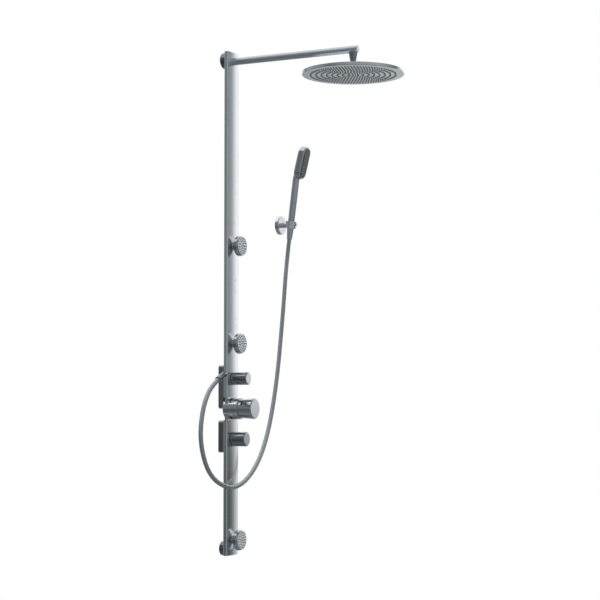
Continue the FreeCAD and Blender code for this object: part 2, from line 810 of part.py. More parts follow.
def make_hose_outlet():
    """Elbow out of the panel's side, the hose nut and its washer."""
    start = Vector(*hose_route[0])
    way = hose_direction(hose_route[0], hose_route[1])
    bend = outlet_bend()
    nipple_start = -gallery_half + outlet_nipple_depth
    nipple = Part.makeCylinder(outlet_nipple_radius, nipple_start - bend.x,
                               Vector(nipple_start, bend.y, bend.z), Vector(-1, 0, 0))
    side = -panel_width / 2
    collar = Part.makeCylinder(outlet_radius, side - bend.x, Vector(side, bend.y, bend.z),
                               Vector(-1, 0, 0))
    spout_length = outlet_reach - hose_nut_length
    spout = Part.makeCylinder(outlet_radius, spout_length, bend, way)
    thread_radius = hose_nut_radius - 2.0
    thread = Part.makeCylinder(thread_radius, hose_nut_length - washer_thickness * 2, bend + way *
                               spout_length, way)
    elbow = fuse_all(nipple, [collar, ball(outlet_radius, bend), spout, thread])
    save("hose_outlet_elbow", elbow)
    nut = Part.makeCylinder(hose_nut_radius, hose_nut_length, bend + way * spout_length, way)
    bore = Part.makeCylinder(thread_radius + snug, hose_nut_length - washer_thickness,
                             bend + way * spout_length, way)
    save("hose_nut", nut.cut(bore))
    washer = Part.makeCylinder(thread_radius - snug, washer_thickness,
                               start - way * washer_thickness * 2, way)
    save("hose_washer", washer)


def hose_wire(points):
    """Straight runs joined by tangent arcs, each as large as its two runs allow."""
    edges = []
    cursor = points[0]
    for before, corner, after in zip(points, points[1:], points[2:]):
        come = (corner - before).normalize()
        go = (after - corner).normalize()
        turn = come.getAngle(go)
        shorter = min((corner - before).Length, (after - corner).Length)
        tangent_length = arc_share * shorter
        radius = tangent_length / math.tan(turn / 2)
        arc_start = corner - come * tangent_length
        arc_end = corner + go * tangent_length
        inward = (go - come).normalize()
        to_corner = radius / math.cos(turn / 2)
        arc_middle = corner + inward * (to_corner - radius)
        edges.append(Part.LineSegment(cursor, arc_start).toShape())
        edges.append(Part.Arc(arc_start, arc_middle, arc_end).toShape())
        cursor = arc_end
        print(f"hose corner turn {math.degrees(turn):5.1f} deg, radius {radius:7.1f} mm")
    edges.append(Part.LineSegment(cursor, points[-1]).toShape())
    return Part.Wire(edges)


def make_hose():
    points = [Vector(*point) for point in hose_route]
    wire = hose_wire(points)
    way = hose_direction(hose_route[0], hose_route[1])
    ring = Part.Wire(Part.Circle(points[0], way, hose_radius).toShape())
    hose = wire.makePipeShell([ring], True, False)
    expected = math.pi * hose_radius ** 2 * wire.Length
    print(f"hose length {wire.Length:.1f} mm, volume {hose.Volume:.0f}, expected {expected:.0f}")
    save("hose", hose)


def cradle_centre():
    return Vector(bracket_x, -cradle_reach, bracket_height)


def lean(shape):
    """From the hand shower's own axis to its place in the cradle."""
    shape.translate(cradle_centre())
    shape.rotate(cradle_centre(), Vector(1, 0, 0), bracket_lean)
    return shape


def cone_radius(level):
    share = (level - cone_low) / (cone_high - cone_low)
    return cone_low_radius + share * (cone_high_radius - cone_low_radius)


def make_bracket():
    """Concealed wall plate, flange, arm with its ring, and the ring's lining."""
    plate = rod_out(flange_radius - flange_wall - free_gap, 0, bracket_plate_depth, bracket_x,
                    bracket_height)
    hub_far = flange_depth - flange_wall
    plate = fuse_all(plate, [rod_out(bracket_hub_radius + flange_wall, bracket_plate_depth, hub_far,
                                     bracket_x, bracket_height)])
    cutters = [rod_out(bracket_arm_radius + snug, bracket_plate_depth - 2, hub_far + 1, bracket_x,
                       bracket_height)]
    for side in (-1, 1):
        cutters.append(rod_out(fixing_hole, -1, bracket_plate_depth + 1,
                               bracket_x + side * bracket_screw_half, bracket_height))
    save("bracket_plate", cut_all(plate, cutters))
    flange = rod_out(flange_radius, 0, flange_depth, bracket_x, bracket_height)
    front_rim = [edge for edge in flange.Edges if edge.Closed
                 and abs(edge.BoundBox.YMax + flange_depth) < 0.01]
    flange = flange.makeFillet(flange_wall, front_rim)
    cutters = [
        rod_out(flange_radius - flange_wall, -1, hub_far, bracket_x, bracket_height),
        rod_out(bracket_arm_radius + snug, hub_far - 1, flange_depth + 1, bracket_x, bracket_height),
    ]
    save("bracket_flange", cut_all(flange, cutters))
    ring = lean(upright(cradle_radius, -cradle_half, cradle_half))
    arm = rod_out(bracket_arm_radius, bracket_plate_depth - 2, cradle_reach, bracket_x, bracket_height)
    nub_near = cradle_reach + cradle_radius - 2
    nub = rod_out(nub_radius, nub_near, cradle_reach + cradle_radius + nub_length, bracket_x,
                  bracket_height)
    lining_radius = cradle_radius - cradle_wall
    slot = lean(Part.makeBox(cradle_radius * 2, cradle_slot, cradle_half * 4,
                             Vector(0, -cradle_slot / 2, -cradle_half * 2)))
    holder = fuse_all(ring, [arm, nub])
    holder = cut_all(holder, [lean(upright(lining_radius + snug, -cradle_half * 2, cradle_half * 2)),
                              slot])
    save("bracket_holder", holder)
    lining = lean(upright(lining_radius, -cradle_half, cradle_half))
    bore = Part.makeCone(cone_radius(-cradle_half) + free_gap, cone_radius(cradle_half) + free_gap,
                         cradle_half * 2, Vector(0, 0, -cradle_half))
    save("cradle_lining", cut_all(lining, [lean(bore), slot]))


def handset_ellipse(level, half_width, half_thick):
    """Section of the hand shower; above the bend the sections lean forward."""
    centre = Vector(0, 0, level)
    beyond = max(level - handset_bend, 0.0)
    tilt = handset_head_lean if beyond > 0 else 0.0
    ellipse = Part.Ellipse(Vector(0, 0, 0), half_width, half_thick)
    wire = Part.Wire(ellipse.toShape())
    wire.translate(centre)
    wire.rotate(Vector(0, 0, handset_bend), Vector(1, 0, 0), tilt)
    return wire


def head_shape(shape):
    """From the head's straight axis to its lean on the handle."""
    shape.rotate(Vector(0, 0, handset_bend), Vector(1, 0, 0), handset_head_lean)
    return shape


def head_slab(inset, near, far):
    """Rounded plate across the hand shower's head, drawn in by inset."""
    return rounded_plate(handset_head_half - inset, near, far, handset_head_low + inset,
                         handset_head_high - inset, handset_head_corner - inset)


def rim_at(shape, out):
    """Edges of a plate that lie at one distance out from the wall."""
    return [edge for edge in shape.Edges
            if abs(edge.BoundBox.YMin + out) < 0.01 and edge.BoundBox.YLength < 0.01]


def make_handset():
    """Ferrule on the hose's end, cone nut, body and nozzle face of the hand shower."""
    ferrule = upright(ferrule_radius, cone_low, ferrule_flange_high)
    ferrule = fuse_all(ferrule, [upright(ferrule_flange_radius, ferrule_flange_low,
                                         ferrule_flange_high)])
    save("hose_ferrule", lean(ferrule.cut(upright(ferrule_bore, cone_low + 2, cone_high))))
    nut = Part.makeCone(cone_low_radius, cone_high_radius, cone_high - cone_low,
                        Vector(0, 0, cone_low))
    cutters = [
        upright(ferrule_radius + running, cone_low - 1, ferrule_flange_low),
        upright(ferrule_flange_radius + running * 2, ferrule_flange_low - free_gap, cone_high + 1),
    ]
    save("cone_nut", lean(cut_all(nut, cutters)))
    handle = Part.makeLoft([handset_ellipse(*section) for section in handle_sections], True, False)
    neck = Part.makeLoft([handset_ellipse(*section) for section in neck_sections], True, False)
    spigot = upright(ferrule_flange_radius + running * 2 - snug, spigot_low, cone_high)
    head = head_slab(0, -handset_head_back, handset_head_front)
    head = head.makeFillet(handset_back_edge, rim_at(head, -handset_head_back))
    head = head.makeFillet(handset_front_edge, rim_at(head, handset_head_front))
    body = fuse_all(handle, [neck, head_shape(head), spigot])
    cutters = [
        upright(spigot_bore, spigot_low - 1, handset_way_top),
        head_shape(head_slab(handset_face_margin - snug, handset_face_near, handset_face_far + 10)),
        head_shape(head_slab(handset_face_margin + handset_wall, handset_chamber_near,
                             handset_face_near + 1)),
    ]
    save("handset_body", lean(cut_all(body, cutters)))
    face = head_slab(handset_face_margin, handset_face_near, handset_face_far)
    save("handset_face", lean(head_shape(face)))


os.makedirs("parts", exist_ok=True)
make_panel()
make_end_caps()
make_wall_spacers()
make_valve_blocks()
make_mixer_body()
make_cartridges()
make_valve_handle("diverter", diverter_height, diverter_handle_radius, diverter_handle_far)
make_valve_handle("jets", jets_valve_height, jets_handle_radius, jets_handle_far)
make_temperature_handle()
make_pipes()
make_arm()
make_rain_head()
make_jets()
make_hose_outlet()
make_hose()
make_bracket()
make_handset()
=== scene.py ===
import math
import bmesh
import bpy
from mathutils import Matrix, Vector


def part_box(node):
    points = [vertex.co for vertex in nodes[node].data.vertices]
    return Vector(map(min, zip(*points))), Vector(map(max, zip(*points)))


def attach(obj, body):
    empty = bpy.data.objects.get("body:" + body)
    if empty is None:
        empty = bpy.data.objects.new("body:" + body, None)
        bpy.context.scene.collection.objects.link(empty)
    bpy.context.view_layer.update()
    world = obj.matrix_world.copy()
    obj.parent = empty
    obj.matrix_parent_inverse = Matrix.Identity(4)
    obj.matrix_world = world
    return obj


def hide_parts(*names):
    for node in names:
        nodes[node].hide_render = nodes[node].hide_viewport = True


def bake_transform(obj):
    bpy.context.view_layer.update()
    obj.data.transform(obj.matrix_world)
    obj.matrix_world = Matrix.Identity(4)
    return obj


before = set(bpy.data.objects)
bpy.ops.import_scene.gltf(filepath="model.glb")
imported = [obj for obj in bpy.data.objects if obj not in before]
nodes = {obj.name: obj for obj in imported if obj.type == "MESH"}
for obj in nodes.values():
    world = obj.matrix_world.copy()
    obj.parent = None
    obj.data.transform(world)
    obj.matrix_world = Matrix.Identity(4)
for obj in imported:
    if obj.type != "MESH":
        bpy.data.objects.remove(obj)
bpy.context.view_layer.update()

# The camera stands to the left of the column, well back, at the height of the mixer,
# and looks slightly up, so that the rain head is seen from below.
# A long lens keeps the column upright and the head an even oval.
view_turn = math.radians(63.09)
view_tilt = math.radians(3.50)
camera_place = Vector((-4.468, -2.529, 0.014))
camera_lens_mm = 102.0
camera_sensor_mm = 36.0
camera_reach = 60.0

sight = Vector((math.sin(view_turn) * math.cos(view_tilt),
                math.cos(view_turn) * math.cos(view_tilt),
                math.sin(view_tilt)))
camera_data = bpy.data.cameras.new("camera")
camera_data.lens = camera_lens_mm
camera_data.sensor_width = camera_sensor_mm
camera_data.clip_end = camera_reach
camera = bpy.data.objects.new("camera", camera_data)
camera.location = camera_place
camera.rotation_euler = sight.to_track_quat("-Z", "Y").to_euler()
bpy.context.scene.collection.objects.link(camera)
bpy.context.scene.camera = camera


# The hose is a rubber tube in a close metal spiral, crimped at both ends.
# It leaves the panel's left side, hangs in a loop in front of the lower panel and
# rises to the hand shower; its ribs are wound from the same round strip.
hose_radius = 0.007
hose_rib_depth = 0.0005
hose_rib_pitch = 0.0026
hose_rib_steps = 4
hose_sides = 16
hose_line_fineness = 48
hose_route = [
    (-0.0781, -0.0287, 0.0857),
    (-0.1180, -0.0287, 0.0654),
    (-0.1560, -0.0330, 0.0320),
    (-0.1820, -0.0360, -0.0080),
    (-0.2050, -0.0420, -0.0680),
    (-0.2030, -0.0470, -0.1230),
    (-0.1810, -0.0530, -0.1780),
    (-0.1350, -0.0580, -0.2150),
    (-0.0620, -0.0640, -0.2360),
    (0.0100, -0.0650, -0.2240),
    (0.0820, -0.0620, -0.1880),
    (0.1480, -0.0570, -0.1330),
    (0.2030, -0.0510, -0.0590),
    (0.2490, -0.0450, 0.0350),
    (0.2840, -0.0400, 0.1290),
    (0.3100, -0.0360, 0.2250),
    (0.3310, -0.0340, 0.3210),
    (0.3490, -0.0320, 0.4170),
    (0.3660, -0.0294, 0.4819),
    (0.3660, -0.0370, 0.5411),
]


def link(piece):
    """Put an object into the scene."""
    bpy.context.scene.collection.objects.link(piece)
    return piece


def finished(name, shell, smooth=True):
    """Make the shaped bmesh an object."""
    mesh = bpy.data.meshes.new(name)
    shell.to_mesh(mesh)
    shell.free()
    for face in mesh.polygons:
        face.use_smooth = smooth
    return link(bpy.data.objects.new(name, mesh))


def route_centre_line(route, fineness):
    """Points along the smooth spline that the route's points steer."""
    curve = bpy.data.curves.new("hose_route", "CURVE")
    curve.dimensions = "3D"
    spline = curve.splines.new("NURBS")
    spline.points.add(len(route) - 1)
    for control, place in zip(spline.points, route):
        control.co = (*place, 1.0)
    spline.order_u = 3
    spline.use_endpoint_u = True
    spline.resolution_u = fineness
    guide = link(bpy.data.objects.new("hose_route", curve))
    bpy.context.view_layer.update()
    line = bpy.data.meshes.new_from_object(guide)
    places = [vertex.co.copy() for vertex in line.vertices]
    bpy.data.objects.remove(guide)
    bpy.data.meshes.remove(line)
    return places


def even_steps(places, step):
    """The same line with a point every step."""
    even = [places[0]]
    left = step
    for start, end in zip(places, places[1:]):
        run = (end - start).length
        done = 0.0
        while run - done >= left:
            done += left
            even.append(start.lerp(end, done / run))
            left = step
        left -= run - done
    even.append(places[-1])
    return even


def wound_tube(name, line, radius, depth, steps, sides):
    """Tube along a line whose radius rises and falls once in each group of steps."""
    shell = bmesh.new()
    rings = []
    way = (line[1] - line[0]).normalized()
    across = way.orthogonal().normalized()
    for index, place in enumerate(line):
        ahead = line[min(index + 1, len(line) - 1)]
        behind = line[max(index - 1, 0)]
        way = (ahead - behind).normalized()
        across = (across - way * across.dot(way)).normalized()
        side = way.cross(across)
        rib = 0.5 - 0.5 * math.cos(2 * math.pi * index / steps)
        reach = radius - depth * rib
        ring = []
        for corner in range(sides):
            angle = 2 * math.pi * corner / sides
            offset = (across * math.cos(angle) + side * math.sin(angle)) * reach
            ring.append(shell.verts.new(place + offset))
        rings.append(ring)
    for first, second in zip(rings, rings[1:]):
        for corner in range(sides):
            after = (corner + 1) % sides
            shell.faces.new((first[corner], first[after], second[after], second[corner]))
    shell.faces.new(rings[0])
    shell.faces.new(rings[-1])
    bmesh.ops.recalc_face_normals(shell, faces=shell.faces)
    return finished(name, shell)


def sum_node(tree, operation, *values):
    """Math node; each value is a socket to wire in or a plain number."""
    node = tree.nodes.new("ShaderNodeMath")
    node.operation = operation
    for socket, value in zip(node.inputs, values):
        if isinstance(value, float):
            socket.default_value = value
        else:
            tree.links.new(value, socket)
    return node.outputs["Value"]


def step_node(tree, value, start, end, interpolation="LINEAR"):
    """Map Range node that takes start to 0 and end to 1."""
    node = tree.nodes.new("ShaderNodeMapRange")
    node.interpolation_type = interpolation
    node.inputs["From Min"].default_value = start
    node.inputs["From Max"].default_value = end
    tree.links.new(value, node.inputs["Value"])
    return node.outputs["Result"]


def mix_node(tree, share, first, second):
    """Colour mix; each of the two is a socket to wire in or a plain colour."""
    node = tree.nodes.new("ShaderNodeMix")
    node.data_type = "RGBA"
    tree.links.new(share, node.inputs["Factor"])
    for label, value in (("A", first), ("B", second)):
        if isinstance(value, tuple):
            node.inputs[label].default_value = (*value, 1.0)
        else:
            tree.links.new(value, node.inputs[label])
    return node.outputs["Result"]


drops_per_metre = 55.0
drop_edge = (0.34, 0.22)
drop_roughness = 0.22
patches_per_metre = 9.0
patch_detail = 4.0
patch_edge = (0.5, 0.68)
haze_roughness = 0.05
hairs_per_metre = (900.0, 900.0, 35.0)
hair_detail = 3.0
relief_height = 0.0005


def wear_group():
    """Hairlines from wiping, dried water drops and slow changes in polish."""
    group = bpy.data.node_groups.new("water_marks_and_hairlines", "ShaderNodeTree")
    for label in ("Drop Strength", "Base Roughness", "Hairline Strength"):
        group.interface.new_socket(label, in_out="INPUT", socket_type="NodeSocketFloat")
    for label in ("Roughness", "Height", "Drop Mask"):
        group.interface.new_socket(label, in_out="OUTPUT", socket_type="NodeSocketFloat")
    make = group.nodes.new
    wire = group.links.new
    asked = make("NodeGroupInput").outputs
    result = make("NodeGroupOutput").inputs
    place = make("ShaderNodeTexCoord").outputs["Object"]
    drops = make("ShaderNodeTexVoronoi")
    drops.inputs["Scale"].default_value = drops_per_metre
    wire(place, drops.inputs["Vector"])
    patches = make("ShaderNodeTexNoise")
    patches.inputs["Scale"].default_value = patches_per_metre
    patches.inputs["Detail"].default_value = patch_detail
    wire(place, patches.inputs["Vector"])
    stretch = make("ShaderNodeMapping")
    stretch.inputs["Scale"].default_value = hairs_per_metre
    wire(place, stretch.inputs["Vector"])
    hairs = make("ShaderNodeTexNoise")
    hairs.inputs["Scale"].default_value = 1.0
    hairs.inputs["Detail"].default_value = hair_detail
    wire(stretch.outputs["Vector"], hairs.inputs["Vector"])
    drop_mask = sum_node(group, "MULTIPLY", step_node(group, drops.outputs["Distance"], *drop_edge),
                         step_node(group, patches.outputs["Fac"], *patch_edge))
    drop_mark = sum_node(group, "MULTIPLY", drop_mask, asked["Drop Strength"])
    hair_mark = sum_node(group, "MULTIPLY", hairs.outputs["Fac"], asked["Hairline Strength"])
    haze = sum_node(group, "MULTIPLY_ADD", patches.outputs["Fac"], haze_roughness,
                    asked["Base Roughness"])
    wiped = sum_node(group, "ADD", haze, hair_mark)
    wire(sum_node(group, "MULTIPLY_ADD", drop_mark, drop_roughness, wiped), result["Roughness"])
    wire(sum_node(group, "ADD", drop_mark, hair_mark), result["Height"])
    wire(drop_mark, result["Drop Mask"])
    return group


wear = wear_group()


def worn_metal(name, colour, mark_colour, roughness, drops=0.5, hairlines=0.04, bump=0.02,
               metallic=1.0):
    """Metal or plastic with wiped hairlines and dried drops; mark_colour is a dried drop's."""
    material = bpy.data.materials.new(name)
    material.use_nodes = True
    tree = material.node_tree
    shader = tree.nodes["Principled BSDF"]
    shader.inputs["Metallic"].default_value = metallic
    marks = tree.nodes.new("ShaderNodeGroup")
    marks.node_tree = wear
    marks.inputs["Drop Strength"].default_value = drops
    marks.inputs["Base Roughness"].default_value = roughness
    marks.inputs["Hairline Strength"].default_value = hairlines
    tint = mix_node(tree, marks.outputs["Drop Mask"], colour, mark_colour)
    tree.links.new(tint, shader.inputs["Base Color"])
    tree.links.new(marks.outputs["Roughness"], shader.inputs["Roughness"])
    relief = tree.nodes.new("ShaderNodeBump")
    relief.inputs["Strength"].default_value = bump
    relief.inputs["Distance"].default_value = relief_height
    tree.links.new(marks.outputs["Height"], relief.inputs["Height"])
    tree.links.new(relief.outputs["Normal"], shader.inputs["Normal"])
    return material


def dress(material, *names):
    """Give the frame's own pieces a finish."""
    for name in names:
        piece = nodes[name]
        if not piece.data.materials:
            piece.data.materials.append(material)
        for place in piece.material_slots:
            place.material = material


def new_piece(name, shell, material, body):
    """Finish a shaped bmesh as a flat-faced piece that rides on a body."""
    bmesh.ops.recalc_face_normals(shell, faces=shell.faces)
    piece = finished(name, shell, smooth=False)
    piece.data.materials.append(material)
    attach(piece, body)


hose_line = even_steps(route_centre_line(hose_route, hose_line_fineness),
                       hose_rib_pitch / hose_rib_steps)
hose = wound_tube("metal_hose", hose_line, hose_radius, hose_rib_depth, hose_rib_steps, hose_sides)
hose_metal = worn_metal("hose_metal", (0.52, 0.55, 0.57), (0.42, 0.43, 0.44), 0.2, drops=0.3,
                        hairlines=0.1, bump=0.05)
hose.data.materials.append(hose_metal)
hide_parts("hose")
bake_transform(hose)


# The panel is a hollow aluminium profile in two lengths, chrome plated, with a softly
# crowned front and thin cast caps pressed into its ends.
panel_chrome = worn_metal("panel_chrome", (0.82, 0.83, 0.85), (0.62, 0.63, 0.64), 0.15, drops=0.6)
dress(panel_chrome, "upper_profile", "lower_profile", "end_caps")


# The small chromed brass parts: arm, drop, ball joint, nuts, bracket and jet sockets.
# They are turned or cast, then plated; the arm is satin, the rest are polished.
polished_chrome = worn_metal("polished_chrome", (0.78, 0.79, 0.81), (0.6, 0.6, 0.61), 0.05,
                             drops=0.5)
dress(polished_chrome, "arm_end_cap", "head_ball_stub", "head_swivel_nut", "rain_head_shell",
      "mixer_body", "bracket_flange", "bracket_holder", "cone_nut", "jet_sockets")
arm_chrome = worn_metal("arm_chrome", (0.68, 0.72, 0.74), (0.56, 0.58, 0.59), 0.36, drops=0.4,
                        hairlines=0.08)
dress(arm_chrome, "rain_arm")
# The drop and the hose nut take a much darker copy of the same chrome, as painted shade and painted
# dark reflection.
handle_chrome = worn_metal("handle_chrome", (0.35, 0.38, 0.4), (0.32, 0.34, 0.35), 0.06, drops=0.4)
dress(handle_chrome, "drop_cone", "hose_nut")


# The valve blocks are pressed chromed covers over brass bodies on steel back plates.
# The covers, the elbow and the round spacers use the panel's chrome painted darker, as painted
# shade and painted dark reflection; the spacers are darkest.
# Brass, copper and steel are left as machined inside.
cover_chrome = worn_metal("cover_chrome", (0.34, 0.37, 0.39), (0.3, 0.32, 0.33), 0.09, drops=0.4)
dress(cover_chrome, "upper_valve_cover", "lower_valve_cover", "hose_outlet_elbow")
spacer_chrome_painted_shade = worn_metal("spacer_chrome_painted_shade", (0.22, 0.245, 0.26), (0.22, 0.23, 0.24), 0.12,
                           drops=0.4)
dress(spacer_chrome_painted_shade, "top_wall_spacer", "foot_wall_spacer")
raw_steel = worn_metal("stainless", (0.5, 0.51, 0.52), (0.36, 0.35, 0.34), 0.28, drops=0.6,
                       hairlines=0.16, bump=0.08)
dress(raw_steel, "upper_back_plate", "lower_back_plate", "pan_head_screws", "cover_grub_screws",
      "bracket_plate")
raw_brass = worn_metal("cast_brass", (0.68, 0.5, 0.22), (0.4, 0.3, 0.16), 0.26, drops=0.5,
                       hairlines=0.14, bump=0.08)
dress(raw_brass, "upper_valve_body", "lower_valve_body", "inlet_unions", "cartridge_nuts",
      "diverter_spindle", "jets_spindle", "temperature_spindle", "arm_socket", "hose_ferrule")
raw_copper = worn_metal("copper_pipe", (0.7, 0.38, 0.24), (0.36, 0.2, 0.14), 0.3, drops=0.7,
                        hairlines=0.12, bump=0.06)
dress(raw_copper, "transfer_pipes", "riser_pipe", "upper_jet_pipe", "lower_jet_pipe")
white_acetal = worn_metal("white_plastic", (0.78, 0.78, 0.75), (0.7, 0.69, 0.65), 0.4, drops=0.3,
                          hairlines=0.1, bump=0.05, metallic=0.0)
dress(white_acetal, "disc_cartridges", "thermostatic_cartridge", "head_seat_ring",
      "top_jet_seat", "middle_jet_seat", "low_jet_seat")
seal_rubber = worn_metal("seal_rubber", (0.02, 0.02, 0.022), (0.06, 0.06, 0.06), 0.55, drops=0.3,
                         hairlines=0.12, bump=0.1, metallic=0.0)
dress(seal_rubber, "hose_washer")


# The three handles are turned and chromed.  A thin polished disc closes each one's end,
# and a fine dark line on the two smaller ones points to the setting.
# The diverter and jets handles share that darker copy of the chrome, as painted shade and painted
# dark reflection.
dress(handle_chrome, "diverter_handle", "jets_handle")
# The temperature handle's chrome is a copy darkened below the mixer body's polished chrome, as
# painted shade.
mixer_chrome_painted_shade = worn_metal("mixer_chrome_painted_shade", (0.62, 0.65, 0.67), (0.5, 0.52, 0.53), 0.06, drops=0.4)
dress(mixer_chrome_painted_shade, "temperature_handle")
disc_proud = 0.0006
disc_margin = 0.0022
disc_edge = 0.0015
disc_dome = 0.0004
disc_sides = 96
pointer_width = 0.0012
pointer_length = 0.007
pointer_edge = 0.0001
pointer_edge_steps = 2


def end_disc(name, handle, body):
    """Slightly domed disc on the end of a handle, bevelled at its rim."""
    low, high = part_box(handle)
    centre = (low + high) / 2
    radius = (high.x - low.x) / 2 - disc_margin
    facing = Matrix.Translation((centre.x, low.y, centre.z)) @ Matrix.Rotation(math.pi / 2, 4, "X")
    disc = bmesh.new()
    bmesh.ops.create_circle(disc, cap_ends=True, segments=disc_sides, radius=radius, matrix=facing)
    raised = bmesh.ops.extrude_face_region(disc, geom=disc.faces[:])["geom"]
    rim = [item for item in raised if isinstance(item, bmesh.types.BMVert)]
    bmesh.ops.translate(disc, verts=rim, vec=(0, -disc_proud, 0))
    top = [item for item in raised if isinstance(item, bmesh.types.BMFace)]
    bmesh.ops.inset_region(disc, faces=top, thickness=disc_edge)
    middle = [vertex for face in top for vertex in face.verts]
    bmesh.ops.translate(disc, verts=middle, vec=(0, -disc_dome, 0))
    new_piece(name, disc, polished_chrome, body)


def pointer_line(name, handle, body):
    """Thin dark inlay along the top of a handle."""
    low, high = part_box(handle)
    line = bmesh.new()
    bmesh.ops.create_cube(line, size=1.0)
    bmesh.ops.scale(line, vec=(pointer_width, pointer_length, disc_proud), verts=line.verts)
    bmesh.ops.bevel(line, geom=line.edges[:], offset=pointer_edge, segments=pointer_edge_steps,
                    profile=0.5, affect="EDGES", material=-1)
    bmesh.ops.translate(line, vec=((low.x + high.x) / 2, low.y + pointer_length, high.z),
                        verts=line.verts)
    new_piece(name, line, seal_rubber, body)


end_disc("diverter_end_disc", "diverter_handle", "diverter")
end_disc("jets_end_disc", "jets_handle", "jets_valve")
end_disc("temperature_end_disc", "temperature_handle", "temperature")
pointer_line("diverter_pointer", "diverter_handle", "diverter")
pointer_line("jets_pointer", "jets_handle", "jets_valve")


# The stop button on the temperature handle is a moulded pill that must be pressed
# before the handle turns past the safe heat.
dark_plastic = worn_metal("dark_plastic", (0.05, 0.052, 0.056), (0.1, 0.1, 0.1), 0.25, drops=0.3,
                          hairlines=0.08, bump=0.05, metallic=0.0)
dress(dark_plastic, "stop_button", "cradle_lining", "handset_face")


# The rain head's face is satin metal with soft nozzles pushed through it from behind
# in close rings; scale can be rubbed off their tips.
head_low, head_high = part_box("rain_head_face")
head_centre = (head_low + head_high) / 2
nozzle_sides = 8
nozzle_rings = 8
nozzle_ring_step = 0.0156
nozzle_spacing = 0.0088
nozzle_root = 0.0028
nozzle_tip = 0.0019
nozzle_height = 0.0020


def nozzle_tips(name, places, root, tip, height, facing, body):
    """Short soft cones at the given places; facing turns +Z to the way the water leaves."""
    tips = bmesh.new()
    for place in places:
        matrix = Matrix.Translation(place) @ facing @ Matrix.Translation((0, 0, height / 2))
        bmesh.ops.create_cone(tips, cap_ends=True, segments=nozzle_sides, radius1=root, radius2=tip,
                              depth=height, matrix=matrix)
    new_piece(name, tips, nozzle_rubber, body)


def ring_places(rings, step, spacing):
    """One place in the middle, then rings of places about one spacing apart."""
    places = [(0.0, 0.0)]
    for ring in range(1, rings + 1):
        reach = ring * step
        count = round(2 * math.pi * reach / spacing)
        for index in range(count):
            angle = 2 * math.pi * index / count
            places.append((reach * math.cos(angle), reach * math.sin(angle)))
    return places


head_face_metal = worn_metal("head_face_metal", (0.8, 0.83, 0.85), (0.66, 0.66, 0.66), 0.24,
                             drops=0.4, hairlines=0.1, bump=0.04)
dress(head_face_metal, "rain_head_face")
nozzle_rubber = worn_metal("nozzle_rubber", (0.27, 0.29, 0.3), (0.36, 0.36, 0.36), 0.5, drops=0.4,
                           hairlines=0.1, bump=0.1, metallic=0.0)
head_nozzle_places = [Vector((head_centre.x + x, head_centre.y + y, head_low.z))
                      for x, y in ring_places(nozzle_rings, nozzle_ring_step, nozzle_spacing)]
nozzle_tips("rain_head_nozzles", head_nozzle_places, nozzle_root, nozzle_tip, nozzle_height,
            Matrix.Rotation(math.pi, 4, "X"), "rain_head")


# Each body jet is a chromed bell on a ball joint, with a pale moulded face.
# Its soft nozzles stand in rings on the slightly domed face.
# The bells' chrome is darkened below the polished chrome, as painted shade.
jet_chrome = worn_metal("jet_chrome", (0.6, 0.63, 0.65), (0.5, 0.52, 0.53), 0.09, drops=0.5)
jet_face_plastic = worn_metal("jet_face_plastic", (0.84, 0.87, 0.89), (0.8, 0.8, 0.8), 0.25,
                              drops=0.4, hairlines=0.08, bump=0.05, metallic=0.0)
jet_rings = 3
jet_ring_step = 0.0075
jet_nozzle_spacing = 0.0082
jet_nozzle_root = 0.0023
jet_nozzle_tip = 0.0016
jet_nozzle_height = 0.0020
jet_dome_drop = 0.0015
for word in ("top", "middle", "low"):
    dress(jet_chrome, word + "_jet_bell")
    dress(jet_face_plastic, word + "_jet_face")
    face_low, face_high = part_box(word + "_jet_face")
    face_middle = (face_low + face_high) / 2
    face_radius = (face_high.x - face_low.x) / 2
    jet_nozzle_places = []
    for across, up in ring_places(jet_rings, jet_ring_step, jet_nozzle_spacing):
        share = math.hypot(across, up) / face_radius
        jet_nozzle_places.append(Vector((face_middle.x + across,
                                         face_low.y + jet_dome_drop * share * share,
                                         face_middle.z + up)))
    nozzle_tips(word + "_jet_nozzles", jet_nozzle_places, jet_nozzle_root, jet_nozzle_tip,
                jet_nozzle_height, Matrix.Rotation(math.pi / 2, 4, "X"), word + "_jet")


# The hand shower is a slim chromed body with a dark oval face and rows of soft nozzles.
# It leans forward in its ring, and its head leans a little more.
# The body's chrome is darkened below the polished chrome, as painted shade.
handset_chrome = worn_metal("handset_chrome", (0.58, 0.61, 0.63), (0.48, 0.5, 0.51), 0.1, drops=0.5)
dress(handset_chrome, "handset_body")
cradle_place = Vector((0.366, -0.043, 0.588))
handset_lean = math.radians(7.3)
handset_head_lean = math.radians(6.7)
handset_bend = Vector((0.0, 0.0, 0.150))
handset_face_up = 0.203
handset_face_out = 0.021
handset_columns = 5
handset_rows = 11
handset_column_step = 0.0066
handset_row_step = 0.0074
handset_place = (Matrix.Translation(cradle_place) @ Matrix.Rotation(handset_lean, 4, "X")
                 @ Matrix.Translation(handset_bend) @ Matrix.Rotation(handset_head_lean, 4, "X")
                 @ Matrix.Translation(-handset_bend))
handset_nozzle_places = []
for row in range(handset_rows):
    up = handset_face_up + (row - (handset_rows - 1) / 2) * handset_row_step
    count = handset_columns if 0 < row < handset_rows - 1 else handset_columns - 2
    for column in range(count):
        across = (column - (count - 1) / 2) * handset_column_step
        handset_nozzle_places.append(handset_place @ Vector((across, -handset_face_out, up)))
handset_facing = handset_place.to_3x3().to_4x4() @ Matrix.Rotation(math.pi / 2, 4, "X")
nozzle_tips("handset_nozzles", handset_nozzle_places, jet_nozzle_root, jet_nozzle_tip,
            jet_nozzle_height, handset_facing, "handset")


